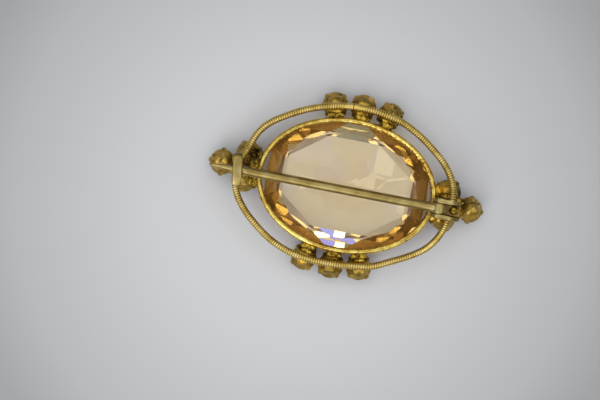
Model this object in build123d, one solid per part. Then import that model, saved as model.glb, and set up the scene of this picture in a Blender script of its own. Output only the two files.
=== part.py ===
from build123d import *
import math
import os

# A vintage brooch lying on the table facet of its main stone, with its back and pin upwards.
# Units are millimetres. X runs along the brooch towards the pin's hinge, Y is up the face when
# the pin is level, and Z is up out of the back. The origin is the middle of the table facet.

# Main stone: an oval brilliant, held point up
STONE_LENGTH = 25.0
STONE_WIDTH = 18.4
TABLE_LENGTH = 18.8
TABLE_WIDTH = 14.8
CROWN_HEIGHT = 2.6
GIRDLE_THICKNESS = 0.35
PAVILION_RISE = 2.1
STONE_MAINS = 8

# Its facets' edges, as shares of the outline and of the crown's or the pavilion's height
STAR_EDGE = 0.89
STAR_HEIGHT = 0.37
CROWN_MAIN_HEIGHT = 0.98
CROWN_HALF_EDGE = 0.9
CROWN_HALF_HEIGHT = 0.42
PAVILION_MAIN_HEIGHT = 0.095
PAVILION_HALF_EDGE = 0.4
PAVILION_HALF_HEIGHT = 0.65

# Bezel: the ring that holds the main stone
STONE_CLEARANCE = 0.05
BEZEL_WALL = 0.45
BEZEL_COVER = 0.35
BEZEL_BACK_LIP = 0.9
BEZEL_FRONT_DROP = 0.8
BEZEL_FRONT_LIP = 0.22
LIP_CLEARANCE = 0.04
LIP_HEIGHT = 0.05
FRONT_MOUTH_EASE = 0.2
BEZEL_ROUND = 0.15

# Chatons: the small round stones in the cups
CHATON_RADIUS = 1.6
CHATON_TABLE_RADIUS = 0.9
CHATON_CROWN = 0.7
CHATON_GIRDLE = 0.12
CHATON_PAVILION = 1.28
CHATON_MAINS = 8
CHATON_CULET_SHARE = 0.05
CHATON_DEPTH = 0.15
CHATON_CLEARANCE = 0.05

# Cups: the small four-prong settings around the bezel
CUP_WALL = 0.18
CUP_BOTTOM_WALL = 0.4
CUP_FRONT_Z = 1.6
CUP_SHOULDER_Z = 2.45
CUP_BACK_Z = 3.7
CUP_BACK_RADIUS = 1.0
CUP_BACK_FACETS = 8
CUP_HOLLOW_TIP = 0.15
CUP_GAP = 0.02
ROW_GAP = 0.4
PAIR_GAP = 0.1
TIP_GAP = 0.29
TOP_ROW_SHIFT = 0.3
TIP_TURN = math.pi / 4

# Prongs: the claws that fold over each chaton
PRONG_COUNT = 4
PRONG_WIDTH = 0.62
PRONG_PROUD = 0.15
PRONG_REACH = 0.18
PRONG_THICKNESS = 0.3
PRONG_SHOULDER = 0.45
PRONG_ROOT_DROP = 0.1
PRONG_TAPER = 0.07
PRONG_FOLD = 0.25
PRONG_TIP_SHARE = 0.8

# Outer wire: a milled wire bent to an oval and soldered across the cups' backs
WIRE_RADIUS = 0.45
WIRE_GAP = 0.01
WIRE_PAST_PAIR = 0.7
WIRE_INSIDE_ROW = 0.35
WIRE_END_ROUNDNESS = 0.8

# Pin stem and its hinge
STEM_RADIUS = 0.65
STEM_Z = 6.8
STEM_TIP_RADIUS = 0.1
STEM_POINT_LENGTH = 6.2
STEM_PAST_CATCH = 4.1
KNUCKLE_RADIUS = 1.0
KNUCKLE_WIDTH = 1.5
RIVET_RADIUS = 0.42
RIVET_CLEARANCE = 0.04
RIVET_HEAD_RADIUS = 0.68
RIVET_HEAD_HEIGHT = 0.12
HINGE_INSIDE_PAIR = 1.35
PIN_Y = -0.6
PLATE_SHEET = 0.4
EAR_SHEET = 0.6
EAR_GAP = 0.05
EAR_RADIUS = 0.88
EAR_FOOT = 2.4
PLATE_AHEAD = 0.7
PLATE_LENGTH = 4.0
PLATE_GAP = 0.01

# Catch: a hook bent from flat strip
HOOK_WIDTH = 1.3
HOOK_SHEET = 0.35
HOOK_PAST_PAIR = 0.95
HOOK_STEM_GAP = 0.12
HOOK_BACK_Y = 2.3
HOOK_LIP_Y = -2.3
HOOK_LIP_DROP = 0.35
HOOK_LIP_RUN = 0.8
HOOK_LIP_BEND = 1.0
HOOK_BEND = 0.8
HOOK_FOOT_Y = -0.8
HOOK_TURN = 8

# Solder
BEZEL_SOLDER_RADIUS = 0.45
BEZEL_SOLDER_LENGTH = 1.5
BEZEL_SOLDER_SINK = 0.15
BEZEL_SOLDER_RISE = 0.85
WIRE_SOLDER_RADIUS = 0.42
WIRE_SOLDER_LENGTH = 1.1
WIRE_SOLDER_INSET = 0.1
WIRE_SOLDER_RISE = 0.1
TIP_SOLDER_RADIUS = 0.8
TIP_SOLDER_HEIGHT = 0.5
HINGE_SOLDER_RADIUS = 0.6
HINGE_SOLDER_INSET = 0.55
HINGE_SOLDER_Y_SHARE = 0.6
HINGE_SOLDER_SINK = 0.2
CATCH_SOLDER_RADIUS = 0.6
CATCH_SOLDER_OUTSET = 0.15
CATCH_SOLDER_INSET = 0.7
CATCH_SOLDER_SINK = 0.1

# Heights and places that follow from the sizes above
GIRDLE_TOP = CROWN_HEIGHT + GIRDLE_THICKNESS
STONE_BACK = GIRDLE_TOP + PAVILION_RISE
BEZEL_LENGTH = STONE_LENGTH + 2 * (STONE_CLEARANCE + BEZEL_WALL)
BEZEL_BREADTH = STONE_WIDTH + 2 * (STONE_CLEARANCE + BEZEL_WALL)
CUP_RADIUS = CHATON_RADIUS + CHATON_CLEARANCE + CUP_WALL
CUP_OFFSET = CUP_RADIUS + CUP_GAP
ROW_PITCH = 2 * CUP_RADIUS + ROW_GAP
PAIR_PITCH = 2 * CUP_RADIUS + PAIR_GAP
TIP_PITCH = 2 * CUP_RADIUS + TIP_GAP
CHATON_GIRDLE_Z = CUP_FRONT_Z + CHATON_DEPTH
CHATON_TABLE_Z = CHATON_GIRDLE_Z - CHATON_CROWN
CHATON_POINT_Z = CHATON_GIRDLE_Z + CHATON_GIRDLE + CHATON_PAVILION
WIRE_Z = CUP_BACK_Z + WIRE_GAP + WIRE_RADIUS
PLATE_Z = WIRE_Z + WIRE_RADIUS + PLATE_GAP


def beside_bezel(turn):
    """Where a cup touches the bezel's wall at an oval angle: its x, its y and its outward turn."""
    half_length = BEZEL_LENGTH / 2
    half_breadth = BEZEL_BREADTH / 2
    outward = math.atan2(half_length * math.sin(turn), half_breadth * math.cos(turn))
    x = half_length * math.cos(turn) + CUP_OFFSET * math.cos(outward)
    y = half_breadth * math.sin(turn) + CUP_OFFSET * math.sin(outward)
    return x, y, outward


def cup_places():
    """The twelve cups' names with their x, y and outward turn."""
    half_length = BEZEL_LENGTH / 2
    half_breadth = BEZEL_BREADTH / 2
    row_step = ROW_PITCH / (half_length + CUP_OFFSET * half_breadth / half_length)
    pair_step = PAIR_PITCH / (half_breadth + CUP_OFFSET * half_length / half_breadth) / 2
    row_shift = TOP_ROW_SHIFT / (half_length + CUP_OFFSET * half_breadth / half_length)
    places = {}
    for index, place in enumerate(("left", "middle", "right")):
        step = (1 - index) * row_step
        places[f"top_{place}"] = beside_bezel(math.pi / 2 + step - row_shift)
        places[f"bottom_{place}"] = beside_bezel(-math.pi / 2 - step)
    for side, middle in (("right", 0.0), ("left", math.pi)):
        sign = math.cos(middle)
        places[f"{side}_upper"] = beside_bezel(middle + sign * pair_step)
        places[f"{side}_lower"] = beside_bezel(middle - sign * pair_step)
        pair_x, pair_y, _ = places[f"{side}_upper"]
        reach = math.sqrt(TIP_PITCH**2 - pair_y**2)
        places[f"{side}_tip"] = (pair_x + sign * reach, 0.0, middle + TIP_TURN)
    return places


CUPS = cup_places()
PAIR_X = CUPS["right_upper"][0]
ROW_Y = -CUPS["bottom_middle"][1]
WIRE_HALF_LENGTH = PAIR_X + WIRE_PAST_PAIR
WIRE_HALF_BREADTH = ROW_Y - WIRE_INSIDE_ROW
RIVET_X = PAIR_X - HINGE_INSIDE_PAIR
HOOK_X = -(PAIR_X + HOOK_PAST_PAIR)
TIP_X = HOOK_X - STEM_PAST_CATCH
HOOK_UNDER_Z = STEM_Z + STEM_RADIUS + HOOK_STEM_GAP


def cut_facets(blank, turns, low, high, scale=(1.0, 1.0)):
    """Cut a tier of flat facets, each through two levels given as (share of the girdle, z)."""
    (low_share, low_z), (high_share, high_z) = low, high
    for turn in turns:
        outward = math.atan2(scale[0] * math.sin(turn), scale[1] * math.cos(turn))
        reach = math.hypot(scale[0] * math.cos(outward), scale[1] * math.sin(outward))
        low_r = low_share * reach
        high_r = high_share * reach
        rise = high_z - low_z
        slope = (rise * math.cos(outward), rise * math.sin(outward), low_r - high_r)
        point = (low_r * math.cos(outward), low_r * math.sin(outward), low_z)
        blank = split(blank, bisect_by=Plane(origin=point, z_dir=slope), keep=Keep.BOTTOM)
    return blank


def around(count, start=0.0):
    """Evenly spaced turns in radians, from a start given as a share of one step."""
    return [2 * math.pi * (index + start) / count for index in range(count)]


def oval_block(length, breadth, low_z, high_z):
    """An upright block with an oval outline."""
    outline = Ellipse(length / 2, breadth / 2)
    return Pos(0, 0, low_z) * extrude(outline, high_z - low_z)


def main_stone():
    """The oval brilliant: crown and table below the girdle, pavilion above it."""
    scale = (STONE_LENGTH / 2, STONE_WIDTH / 2)
    table_share = TABLE_LENGTH / STONE_LENGTH
    corner_share = table_share / math.cos(math.pi / STONE_MAINS)
    stone = oval_block(STONE_LENGTH, STONE_WIDTH, 0, STONE_BACK)
    mains = around(STONE_MAINS, 0.5)
    halves = around(2 * STONE_MAINS, 0.5)
    stars = around(STONE_MAINS)
    star_top = (STAR_EDGE, STAR_HEIGHT * CROWN_HEIGHT)
    stone = cut_facets(stone, stars, (table_share, 0), star_top, scale)
    main_top = (1.0, CROWN_MAIN_HEIGHT * CROWN_HEIGHT)
    stone = cut_facets(stone, mains, (corner_share, 0), main_top, scale)
    half_bottom = (CROWN_HALF_EDGE, CROWN_HALF_HEIGHT * CROWN_HEIGHT)
    stone = cut_facets(stone, halves, half_bottom, (1.0, CROWN_HEIGHT), scale)
    main_bottom = (1.0, GIRDLE_TOP + PAVILION_MAIN_HEIGHT * PAVILION_RISE)
    stone = cut_facets(stone, mains, main_bottom, (0.0, STONE_BACK), scale)
    half_top = (PAVILION_HALF_EDGE, GIRDLE_TOP + PAVILION_HALF_HEIGHT * PAVILION_RISE)
    return cut_facets(stone, halves, (1.0, GIRDLE_TOP), half_top, scale)


def bezel_ring():
    """The oval ring with a groove for the girdle, a back lip and a thin front lip."""
    groove_length = STONE_LENGTH + 2 * STONE_CLEARANCE
    groove_breadth = STONE_WIDTH + 2 * STONE_CLEARANCE
    mouth_length = groove_length - 2 * BEZEL_COVER
    mouth_breadth = groove_breadth - 2 * BEZEL_COVER
    front_z = CROWN_HEIGHT - BEZEL_FRONT_DROP - BEZEL_FRONT_LIP
    lip_z = GIRDLE_TOP + LIP_HEIGHT * PAVILION_RISE + LIP_CLEARANCE
    back_z = lip_z + BEZEL_BACK_LIP
    ring = oval_block(BEZEL_LENGTH, BEZEL_BREADTH, front_z, back_z)
    ring = fillet(ring.edges().filter_by(GeomType.ELLIPSE), BEZEL_ROUND)
    ring -= oval_block(mouth_length, mouth_breadth, lip_z, back_z)
    ring -= oval_block(groove_length, groove_breadth, front_z + BEZEL_FRONT_LIP, lip_z)
    front_length = mouth_length + FRONT_MOUTH_EASE
    front_breadth = mouth_breadth + FRONT_MOUTH_EASE
    return ring - oval_block(front_length, front_breadth, front_z, front_z + BEZEL_FRONT_LIP)


def cup_body():
    """One cup, stone side down: a round collar, a faceted back, a hollow and four prongs."""
    body = Pos(0, 0, CUP_FRONT_Z) * extrude(Circle(CUP_RADIUS), CUP_BACK_Z - CUP_FRONT_Z)
    shoulder = (1.0, CUP_SHOULDER_Z)
    back = (CUP_BACK_RADIUS / CUP_RADIUS, CUP_BACK_Z)
    body = cut_facets(body, around(CUP_BACK_FACETS), shoulder, back, (CUP_RADIUS, CUP_RADIUS))
    for turn in around(PRONG_COUNT, 0.5):
        body += Rot(0, 0, math.degrees(turn)) * prong()
    seat_radius = CHATON_RADIUS + CHATON_CLEARANCE
    seat_z = CHATON_GIRDLE_Z + CHATON_GIRDLE + CHATON_CLEARANCE
    body -= Pos(0, 0, CUP_FRONT_Z) * extrude(Circle(seat_radius), seat_z - CUP_FRONT_Z)
    hollow_height = CUP_BACK_Z - CUP_BOTTOM_WALL - seat_z
    upright = (Align.CENTER, Align.CENTER, Align.MIN)
    hollow = Cone(seat_radius, CUP_HOLLOW_TIP, hollow_height, align=upright)
    return body - Pos(0, 0, seat_z) * hollow


def prong():
    """One claw, drawn on the XZ plane, that rises from the collar and folds over the crown."""
    outer = CUP_RADIUS + PRONG_PROUD
    tip = CHATON_RADIUS - PRONG_REACH
    crown_slope = CHATON_CROWN / (CHATON_RADIUS - CHATON_TABLE_RADIUS)
    tip_z = CHATON_GIRDLE_Z - PRONG_REACH * crown_slope - CHATON_CLEARANCE
    collar = CHATON_RADIUS + 2 * CHATON_CLEARANCE
    outline = Polyline(
        (collar - PRONG_THICKNESS, CUP_SHOULDER_Z + PRONG_SHOULDER),
        (outer - PRONG_TAPER, CUP_SHOULDER_Z - PRONG_ROOT_DROP),
        (outer, CUP_FRONT_Z),
        (outer - PRONG_FOLD, tip_z - PRONG_THICKNESS),
        (tip, tip_z - PRONG_TIP_SHARE * PRONG_THICKNESS),
        (tip, tip_z),
        (collar, CHATON_GIRDLE_Z - CHATON_CLEARANCE),
        (collar, CUP_SHOULDER_Z - PRONG_ROOT_DROP - CHATON_CLEARANCE),
        close=True,
    )
    face = Plane.XZ * make_face(outline)
    return extrude(face, PRONG_WIDTH / 2, both=True)


def chaton():
    """One small round stone, table down."""
    scale = (CHATON_RADIUS, CHATON_RADIUS)
    height = CHATON_POINT_Z - CHATON_TABLE_Z
    stone = Pos(0, 0, CHATON_TABLE_Z) * extrude(Circle(CHATON_RADIUS), height)
    mains = around(CHATON_MAINS)
    table_share = CHATON_TABLE_RADIUS / CHATON_RADIUS
    stone = cut_facets(stone, mains, (table_share, CHATON_TABLE_Z), (1.0, CHATON_GIRDLE_Z), scale)
    girdle_back = (1.0, CHATON_GIRDLE_Z + CHATON_GIRDLE)
    return cut_facets(stone, mains, girdle_back, (CHATON_CULET_SHARE, CHATON_POINT_Z), scale)


def oval_of_arcs(half_length, half_breadth, roundness):
    """A closed oval of four tangent arcs about the Z axis."""
    end_radius = roundness * half_breadth
    end_x = half_length - end_radius
    spread = end_x**2 + half_breadth**2 - end_radius**2
    side_radius = spread / (2 * (half_breadth - end_radius))
    side_y = side_radius - half_breadth
    lean = math.degrees(math.atan2(side_y, end_x))
    arcs = []
    arcs.append(CenterArc((end_x, 0), end_radius, -lean, 2 * lean))
    arcs.append(CenterArc((0, -side_y), side_radius, lean, 180 - 2 * lean))
    arcs.append(CenterArc((-end_x, 0), end_radius, 180 - lean, 2 * lean))
    arcs.append(CenterArc((0, side_y), side_radius, 180 + lean, 180 - 2 * lean))
    return arcs


def outer_wire():
    """The round wire bent to an oval, made of four bends that meet end to end."""
    wire = None
    for arc in oval_of_arcs(WIRE_HALF_LENGTH, WIRE_HALF_BREADTH, WIRE_END_ROUNDNESS):
        start = Plane(origin=arc @ 0, z_dir=arc % 0)
        bend = sweep(start * Circle(WIRE_RADIUS), path=arc)
        wire = bend if wire is None else wire + bend
    return Pos(0, 0, WIRE_Z) * wire


def hinge_bracket():
    """The folded sheet bracket: a plate on the wire with two ears for the rivet."""
    inside = KNUCKLE_WIDTH / 2 + EAR_GAP
    outside = inside + EAR_SHEET
    front_x = RIVET_X - PLATE_AHEAD
    plate = Box(PLATE_LENGTH, 2 * outside, PLATE_SHEET, align=(Align.MIN, Align.CENTER, Align.MIN))
    bracket = Pos(front_x, PIN_Y, PLATE_Z) * plate
    outline = Polyline(
        (RIVET_X - EAR_RADIUS, STEM_Z),
        (front_x, PLATE_Z),
        (RIVET_X + EAR_FOOT, PLATE_Z),
        (RIVET_X + EAR_RADIUS, STEM_Z),
        close=True,
    )
    ear = make_face(outline) + Pos(RIVET_X, STEM_Z) * Circle(EAR_RADIUS)
    ear -= Pos(RIVET_X, STEM_Z) * Circle(RIVET_RADIUS)
    for y in (PIN_Y - inside, PIN_Y + outside):
        bracket += Plane((0, y, 0), x_dir=(1, 0, 0), z_dir=(0, -1, 0)) * extrude(ear, EAR_SHEET)
    return bracket


def hinge_rivet():
    """The rivet through both ears, with a flat round head at each end."""
    outside = KNUCKLE_WIDTH / 2 + EAR_GAP + EAR_SHEET
    lying = Plane((RIVET_X, PIN_Y + outside + RIVET_HEAD_HEIGHT, STEM_Z), z_dir=(0, -1, 0))
    length = 2 * (outside + RIVET_HEAD_HEIGHT)
    rivet = extrude(Circle(RIVET_RADIUS), length)
    for z in (0, length - RIVET_HEAD_HEIGHT):
        rivet += Pos(0, 0, z) * extrude(Circle(RIVET_HEAD_RADIUS), RIVET_HEAD_HEIGHT)
    ends = rivet.faces().sort_by(Axis.Z)
    rims = ends[0].edges() + ends[-1].edges()
    return lying * fillet(rims, 0.6 * RIVET_HEAD_HEIGHT)


def pin_stem():
    """The pin: an eye on the rivet, a straight stem and a long sharpened point."""
    half = KNUCKLE_WIDTH / 2
    straight = RIVET_X - TIP_X - STEM_POINT_LENGTH
    point = Cone(
        STEM_RADIUS, STEM_TIP_RADIUS, STEM_POINT_LENGTH, align=(Align.CENTER, Align.CENTER, Align.MIN)
    )
    stem = extrude(Circle(STEM_RADIUS), straight) + Pos(0, 0, straight) * point
    stem = Plane((RIVET_X, PIN_Y, STEM_Z), z_dir=(-1, 0, 0)) * stem
    lying = Plane((RIVET_X, PIN_Y + half, STEM_Z), z_dir=(0, -1, 0))
    eye = lying * extrude(Circle(KNUCKLE_RADIUS), KNUCKLE_WIDTH)
    bore = lying * extrude(Circle(RIVET_RADIUS + RIVET_CLEARANCE), KNUCKLE_WIDTH)
    return stem + eye - bore


def catch_hook():
    """The strip hook: a foot on the wire, a post, and an arm over the stem that ends in a lip."""
    middle = HOOK_SHEET / 2
    arm_z = HOOK_UNDER_Z + middle
    path = FilletPolyline(
        (0, HOOK_FOOT_Y, PLATE_Z + middle),
        (0, HOOK_BACK_Y, PLATE_Z + middle),
        (0, HOOK_BACK_Y, arm_z),
        (0, HOOK_LIP_Y + HOOK_LIP_RUN, arm_z),
        (0, HOOK_LIP_Y, arm_z - HOOK_LIP_DROP),
        radius=(HOOK_SHEET, HOOK_BEND, HOOK_LIP_BEND),
    )
    start = Plane(origin=path @ 0, x_dir=(1, 0, 0), z_dir=path % 0)
    hook = sweep(start * Rectangle(HOOK_WIDTH, HOOK_SHEET), path=path)
    return Pos(HOOK_X, PIN_Y, 0) * Rot(0, 0, HOOK_TURN) * hook


def fillet_rod(x, y, z, turn, radius, length):
    """A short rod of solder lying along a joint, square to its outward turn."""
    rod = Rot(90, 0, 0) * Cylinder(radius, length)
    return Pos(x, y, z) * Rot(0, 0, math.degrees(turn)) * rod


def plug(x, y, radius, low_z, high_z):
    """An upright plug of solder."""
    return Pos(x, y, low_z) * extrude(Circle(radius), high_z - low_z)


def cut_back(drop, *neighbours):
    """The drop of solder without what it flows against."""
    for neighbour in neighbours:
        drop -= neighbour
    return drop


def bezel_solder(parts):
    """The fillets between the bezel's wall and the ten cups that stand against it."""
    drops = []
    for name, (x, y, turn) in CUPS.items():
        if not name.endswith("_tip"):
            inward = CUP_RADIUS - BEZEL_SOLDER_SINK
            rod_x = x - inward * math.cos(turn)
            rod_y = y - inward * math.sin(turn)
            rod_z = CUP_SHOULDER_Z + BEZEL_SOLDER_RISE
            rod = fillet_rod(rod_x, rod_y, rod_z, turn, BEZEL_SOLDER_RADIUS, BEZEL_SOLDER_LENGTH)
            drops.append(cut_back(rod, parts[f"cup_{name}"], parts["bezel_ring"]))
    return drops


def wire_solder(parts):
    """The fillets beside the wire, on the bezel's side, where no hinge or catch covers it."""
    arcs = oval_of_arcs(WIRE_HALF_LENGTH, WIRE_HALF_BREADTH, WIRE_END_ROUNDNESS)
    drops = []
    for name, (x, y, turn) in CUPS.items():
        if name.startswith(("top", "bottom")) or name == "left_lower":
            nearest, _ = Wire(arcs).closest_points(Vector(x, y, 0))
            inset = WIRE_RADIUS + WIRE_SOLDER_INSET
            rod_x = nearest.X - inset * math.cos(turn)
            rod_y = nearest.Y - inset * math.sin(turn)
            rod_z = CUP_BACK_Z + WIRE_SOLDER_RISE
            rod = fillet_rod(rod_x, rod_y, rod_z, turn, WIRE_SOLDER_RADIUS, WIRE_SOLDER_LENGTH)
            blockers = (parts[f"cup_{name}"], parts["outer_wire"], *parts["solder_bezel"])
            drops.append(cut_back(rod, *blockers))
    return drops


def tip_solder(parts):
    """The plugs between each end cup and the pair beside it."""
    drops = []
    for side in ("left", "right"):
        tip_x, tip_y, _ = CUPS[f"{side}_tip"]
        for row in ("upper", "lower"):
            x, y, _ = CUPS[f"{side}_{row}"]
            low_z = CUP_SHOULDER_Z + PRONG_SHOULDER
            high_z = low_z + TIP_SOLDER_HEIGHT
            drop = plug((x + tip_x) / 2, (y + tip_y) / 2, TIP_SOLDER_RADIUS, low_z, high_z)
            drops.append(cut_back(drop, parts[f"cup_{side}_{row}"], parts[f"cup_{side}_tip"]))
    return drops


def hinge_solder(parts):
    """The plugs that fill the height between the right pair of cups and the hinge's plate."""
    drops = []
    for row in ("upper", "lower"):
        x, y, _ = CUPS[f"right_{row}"]
        plug_x = x - HINGE_SOLDER_INSET
        plug_y = HINGE_SOLDER_Y_SHARE * y
        drop = plug(plug_x, plug_y, HINGE_SOLDER_RADIUS, CUP_BACK_Z - HINGE_SOLDER_SINK, PLATE_Z)
        blockers = (parts[f"cup_right_{row}"], parts["outer_wire"], *parts["solder_bezel"])
        drops.append(cut_back(drop, *blockers))
    return drops


def catch_solder(parts):
    """The plug beside the catch's foot, on the back of the upper left cup."""
    x, y, _ = CUPS["left_upper"]
    plug_x = x - CATCH_SOLDER_OUTSET
    plug_y = y - CATCH_SOLDER_INSET
    low_z = CUP_BACK_Z - CATCH_SOLDER_SINK
    drop = plug(plug_x, plug_y, CATCH_SOLDER_RADIUS, low_z, PLATE_Z + HOOK_SHEET / 2)
    return cut_back(drop, parts["cup_left_upper"], parts["outer_wire"], parts["catch_hook"])


def build_parts():
    """Every sub-part by name, in place."""
    parts = {"main_stone": main_stone(), "bezel_ring": bezel_ring(), "outer_wire": outer_wire()}
    body = cup_body()
    small_stone = chaton()
    for name, (x, y, turn) in CUPS.items():
        place = Pos(x, y, 0) * Rot(0, 0, math.degrees(turn))
        parts[f"cup_{name}"] = place * body
        parts[f"chaton_{name}"] = place * small_stone
    parts["hinge_bracket"] = hinge_bracket()
    parts["hinge_rivet"] = hinge_rivet()
    parts["pin_stem"] = pin_stem()
    parts["catch_hook"] = catch_hook()
    parts["solder_bezel"] = bezel_solder(parts)
    parts["solder_wire"] = wire_solder(parts)
    parts["solder_tips"] = tip_solder(parts)
    parts["solder_hinge"] = hinge_solder(parts)
    parts["solder_catch"] = catch_solder(parts)
    return parts


def write_parts(parts):
    """Write each sub-part to its own STEP file."""
    os.makedirs("parts", exist_ok=True)
    for name, shape in parts.items():
        solids = shape if isinstance(shape, list) else [shape]
        solids = [solid for piece in solids for solid in piece.solids()]
        whole = solids[0] if len(solids) == 1 else Compound(children=solids)
        export_step(whole, f"parts/{name}.step")


write_parts(build_parts())
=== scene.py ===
import math

import bmesh
import bpy
from mathutils import Matrix, Vector, noise


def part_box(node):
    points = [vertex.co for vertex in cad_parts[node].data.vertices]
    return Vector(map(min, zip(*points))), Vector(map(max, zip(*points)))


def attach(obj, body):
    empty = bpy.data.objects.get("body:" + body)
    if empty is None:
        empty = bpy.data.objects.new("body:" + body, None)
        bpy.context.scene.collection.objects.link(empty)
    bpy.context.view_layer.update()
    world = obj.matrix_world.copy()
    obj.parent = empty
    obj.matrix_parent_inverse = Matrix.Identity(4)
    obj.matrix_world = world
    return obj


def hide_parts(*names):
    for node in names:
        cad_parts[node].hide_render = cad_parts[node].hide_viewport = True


# A vintage brooch lying face down, seen from its back. Shapes are worked out in millimetres and
# scaled to metres when each mesh is finished.

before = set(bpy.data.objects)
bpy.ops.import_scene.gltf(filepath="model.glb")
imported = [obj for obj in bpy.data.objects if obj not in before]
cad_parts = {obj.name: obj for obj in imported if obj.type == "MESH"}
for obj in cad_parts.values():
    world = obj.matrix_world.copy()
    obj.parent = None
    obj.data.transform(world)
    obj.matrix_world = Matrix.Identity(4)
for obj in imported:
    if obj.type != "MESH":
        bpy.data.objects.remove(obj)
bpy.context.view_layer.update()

MM = 0.001
UP = Vector((0, 0, 1))

# How the brooch lies under the camera
FIELD_WIDTH = 85.7       # floor that the camera takes in, side to side
LENS = 85.0
SENSOR = 36.0
LIE_TURN = 11.0          # degrees that the brooch lies turned
CAMERA_LEAN = 1.5        # degrees that the camera leans back from straight above
AIM_BESIDE = 6.64        # how far the view's middle is from the brooch's middle, along and across
AIM_BELOW = 2.0
AIM_HEIGHT = 4.0
# The floor card's grey, deepening away from the view's middle, is painted shade.
FALL_OFF = 60.0          # where the floor's grey stops deepening, from the view's middle


# ---------------------------------------------------------------- bench tools

def linear(text, alpha=1.0):
    """An sRGB hex value as linear red, green and blue with an alpha."""
    parts = [int(text[place:place + 2], 16) / 255 for place in (1, 3, 5)]
    return (*(p / 12.92 if p <= 0.04045 else ((p + 0.055) / 1.055) ** 2.4 for p in parts), alpha)


def add(owner, kind, settings=None, inputs=None, stops=None):
    """Add a node to a material or world, set it, and set or link its inputs."""
    tree = owner.node_tree
    made = tree.nodes.new(kind)
    for key, value in (settings or {}).items():
        setattr(made, key, value)
    for key, value in (inputs or {}).items():
        if isinstance(value, bpy.types.NodeSocket):
            tree.links.new(value, made.inputs[key])
        else:
            made.inputs[key].default_value = value
    if stops:
        elements = made.color_ramp.elements
        while len(elements) < len(stops):
            elements.new(0.5)
        for element, (place, colour) in zip(elements, stops):
            element.position = place
            element.color = linear(colour)
    return made


def blank(name):
    """An empty node material."""
    material = bpy.data.materials.new(name)
    material.use_nodes = True
    material.node_tree.nodes.clear()
    return material


def per(size):
    """A pattern's scale for features of this size in millimetres."""
    return 1 / (size * MM)


def size_of(node):
    """A node's lowest and highest corners in millimetres."""
    low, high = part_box(node)
    return low / MM, high / MM


def skin(bm, rows, loop=False):
    """Quads between rows of points. A loop meets its own start; otherwise both ends are capped."""
    rings = [[bm.verts.new(point) for point in row] for row in rows]
    pairs = list(zip(rings, rings[1:]))
    if loop:
        pairs.append((rings[-1], rings[0]))
    else:
        bm.faces.new(rings[0])
        bm.faces.new(reversed(rings[-1]))
    for near, far in pairs:
        for index in range(len(near)):
            after = (index + 1) % len(near)
            bm.faces.new((near[index], near[after], far[after], far[index]))


def piece(name, bm, material, stands_for, body="setting", sharp=35.0):
    """Finish a mesh drawn in millimetres and set it in place on its body."""
    bmesh.ops.recalc_face_normals(bm, faces=bm.faces)
    bmesh.ops.scale(bm, vec=(MM, MM, MM), verts=bm.verts)
    mesh = bpy.data.meshes.new(name)
    bm.to_mesh(mesh)
    bm.free()
    mesh.shade_smooth()
    mesh.set_sharp_from_angle(angle=math.radians(sharp))
    mesh.materials.append(material)
    made = bpy.data.objects.new(name, mesh)
    bpy.context.scene.collection.objects.link(made)
    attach(made, body)
    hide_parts(*stands_for)
    return made


def mark(made, name, values):
    """Keep a number at every point of a piece, for its finish to read."""
    made.data.attributes.new(name, "FLOAT", "POINT").data.foreach_set("value", values)


def near_turn(turn, centre, spread):
    """1 at a turn round the brooch, falling smoothly to 0 past the spread, all in degrees."""
    away = (turn - centre + 180) % 360 - 180
    return math.exp(-(away / spread) ** 2)


def section(count, half_wide, half_high, power=2.0):
    """A closed section round a sweep: an oval, or squarer with a higher power."""
    points = []
    for index in range(count):
        turn = 2 * math.pi * index / count
        across, upward = math.cos(turn), math.sin(turn)
        reach = (abs(across) ** power + abs(upward) ** power) ** (-1 / power)
        points.append((half_wide * across * reach, half_high * upward * reach))
    return points


def crossing(point, ahead, over, outline):
    """A section's points placed square to a path; over is the section's upward way."""
    beside = ahead.cross(over).normalized()
    return [point + beside * across + over * upward for across, upward in outline]


def evenly(points, count, closed=False):
    """Points spaced evenly along a path, with the way ahead at each."""
    path = [Vector(p) for p in points] + ([Vector(points[0])] if closed else [])
    lengths = [0.0]
    for near, far in zip(path, path[1:]):
        lengths.append(lengths[-1] + (far - near).length)
    places, leg = [], 0
    for index in range(count):
        want = lengths[-1] * index / (count if closed else count - 1)
        while leg < len(path) - 2 and lengths[leg + 1] < want:
            leg += 1
        share = (want - lengths[leg]) / (lengths[leg + 1] - lengths[leg])
        places.append(path[leg].lerp(path[leg + 1], share))
    ways = []
    for index in range(count):
        before = places[index - 1] if closed or index else places[0]
        after = places[(index + 1) % count] if closed or index < count - 1 else places[-1]
        ways.append((after - before).normalized())
    return places, ways, lengths[-1]


# ---------------------------------------------------------------- stage

def floor_card():
    """Matt white card with a fine tooth, its grey deepening gently away from the middle: painted shade."""
    material = blank("matt_white_card")
    place = add(material, "ShaderNodeTexCoord").outputs["Object"]
    away = add(material, "ShaderNodeVectorMath", {"operation": "LENGTH"}, {0: place})
    painted_falloff = add(material, "ShaderNodeMapRange", inputs={"Value": away.outputs["Value"], "From Min": 0.0,
               "From Max": FALL_OFF * MM}).outputs["Result"]
    # painted shade: the card's grey deepens away from the view's middle
    tone = add(material, "ShaderNodeValToRGB", inputs={"Fac": painted_falloff}, stops=[
        (0.0, "#d0d0d0"), (0.35, "#c8c8c8"), (0.7, "#b1b1b1"), (0.85, "#9d9d9d"), (1.0, "#979797")])
    tooth = add(material, "ShaderNodeTexNoise", inputs={"Vector": place, "Scale": per(0.7), "Detail": 3.0})
    bump = add(material, "ShaderNodeBump", inputs={"Height": tooth.outputs["Fac"], "Strength": 0.2,
               "Distance": 0.02 * MM})
    surface = add(material, "ShaderNodeBsdfPrincipled", inputs={
        "Base Color": tone.outputs["Color"], "Roughness": 0.6, "Normal": bump.outputs["Normal"]})
    add(material, "ShaderNodeOutputMaterial", inputs={"Surface": surface.outputs["BSDF"]})
    return material


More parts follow.
